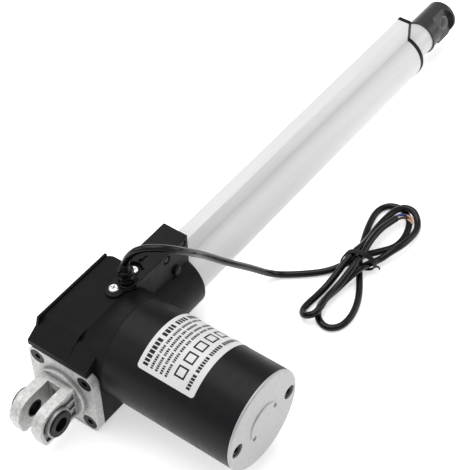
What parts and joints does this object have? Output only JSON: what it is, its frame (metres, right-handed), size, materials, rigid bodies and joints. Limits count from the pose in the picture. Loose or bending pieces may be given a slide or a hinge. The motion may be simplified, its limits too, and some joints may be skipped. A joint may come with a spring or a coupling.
{
  "type": "linear actuator",
  "caption": "Electric linear actuator with a worm-geared side motor, a lead screw inside a finned aluminium tube, a rear clevis, a bored rod end and a tied power cable.",
  "frame": {"origin": "centre of the rear clevis pin hole, midway between the two ears", "axes": "+X along the tube from the clevis towards the rod end, +Z the side with the cable outlet, the motor points towards -Y"},
  "size_m": [0.4851, 0.1489, 0.1033],
  "materials": {
    "cast_aluminium": "sand-cast, bead-blasted",
    "housing_black": "fine textured black powder coat over a die casting",
    "plastic_black": "fine spark-textured moulding",
    "tube_aluminium": "silver anodised, satin",
    "rod_silver": "satin anodised",
    "can_black": "satin black paint",
    "screw_black": "black oxide",
    "zinc": "bright zinc plate",
    "rubber_black": "moulded rubber",
    "bush_black": "acetal, fine moulded",
    "steel": "ground",
    "bronze": "machined bronze",
    "copper": "enamelled copper",
    "magnet": "sintered ferrite",
    "carbon": "pressed carbon",
    "board_green": "solder-masked circuit board",
    "label_white": "printed film",
    "cable_black": "glossy PVC jacket",
    "nut_white": "acetal"
  },
  "bodies": {
    "housing": {"rear_clevis": "cast_aluminium", "clevis_bushes": "bush_black", "flange_screws": "screw_black", "gearbox_housing": "housing_black", "gland_plate": "plastic_black", "strain_relief": "rubber_black", "gland_screws": "zinc", "outer_tube": "tube_aluminium", "tube_sleeve": "plastic_black", "switch_cover": "plastic_black", "cover_screws": "screw_black", "tube_end_cap": "plastic_black", "guide_bush": "bush_black", "wiper_seal": "rubber_black", "screw_bearings": "steel", "limit_switch_board": "board_green", "limit_switches": "plastic_black", "motor_can": "can_black", "motor_front_plate": "cast_aluminium", "motor_end_cap": "cast_aluminium", "motor_bolts": "screw_black", "motor_bearings": "steel", "worm_end_bush": "bronze", "motor_magnets": "magnet", "brushes": "carbon", "brush_card": "plastic_black", "motor_label": "label_white", "power_cable": "cable_black", "cable_hank": "cable_black", "cable_tie": "plastic_black"},
    "rotor": {"worm_shaft": "steel", "armature_core": "steel", "armature_windings": "copper", "commutator": "copper"},
    "screw": {"lead_screw": "steel", "screw_end_collar": "steel", "worm_wheel": "bronze", "screw_spacers": "steel"},
    "rod": {"drive_nut": "nut_white", "inner_tube": "rod_silver", "rod_end": "housing_black"}
  },
  "joints": [
    {"name": "armature_spin", "type": "hinge", "parent": "housing", "child": "rotor", "pos_m": [0.061, 0, 0.0202], "axis": [0, 1, 0], "range_deg": [0, 432000]},
    {"name": "screw_spin", "type": "hinge", "parent": "housing", "child": "screw", "pos_m": [0, 0, 0], "axis": [1, 0, 0], "range_deg": [0, 21600.1]},
    {"name": "rod_slide", "type": "slide", "parent": "housing", "child": "rod", "axis": [1, 0, 0], "range_m": [0, 0.3]}
  ],
  "couplings": [
    {"joint": "screw_spin", "follows": "armature_spin", "ratio": 0.05},
    {"joint": "rod_slide", "follows": "armature_spin", "m_per_rad": 0.000039789}
  ]
}
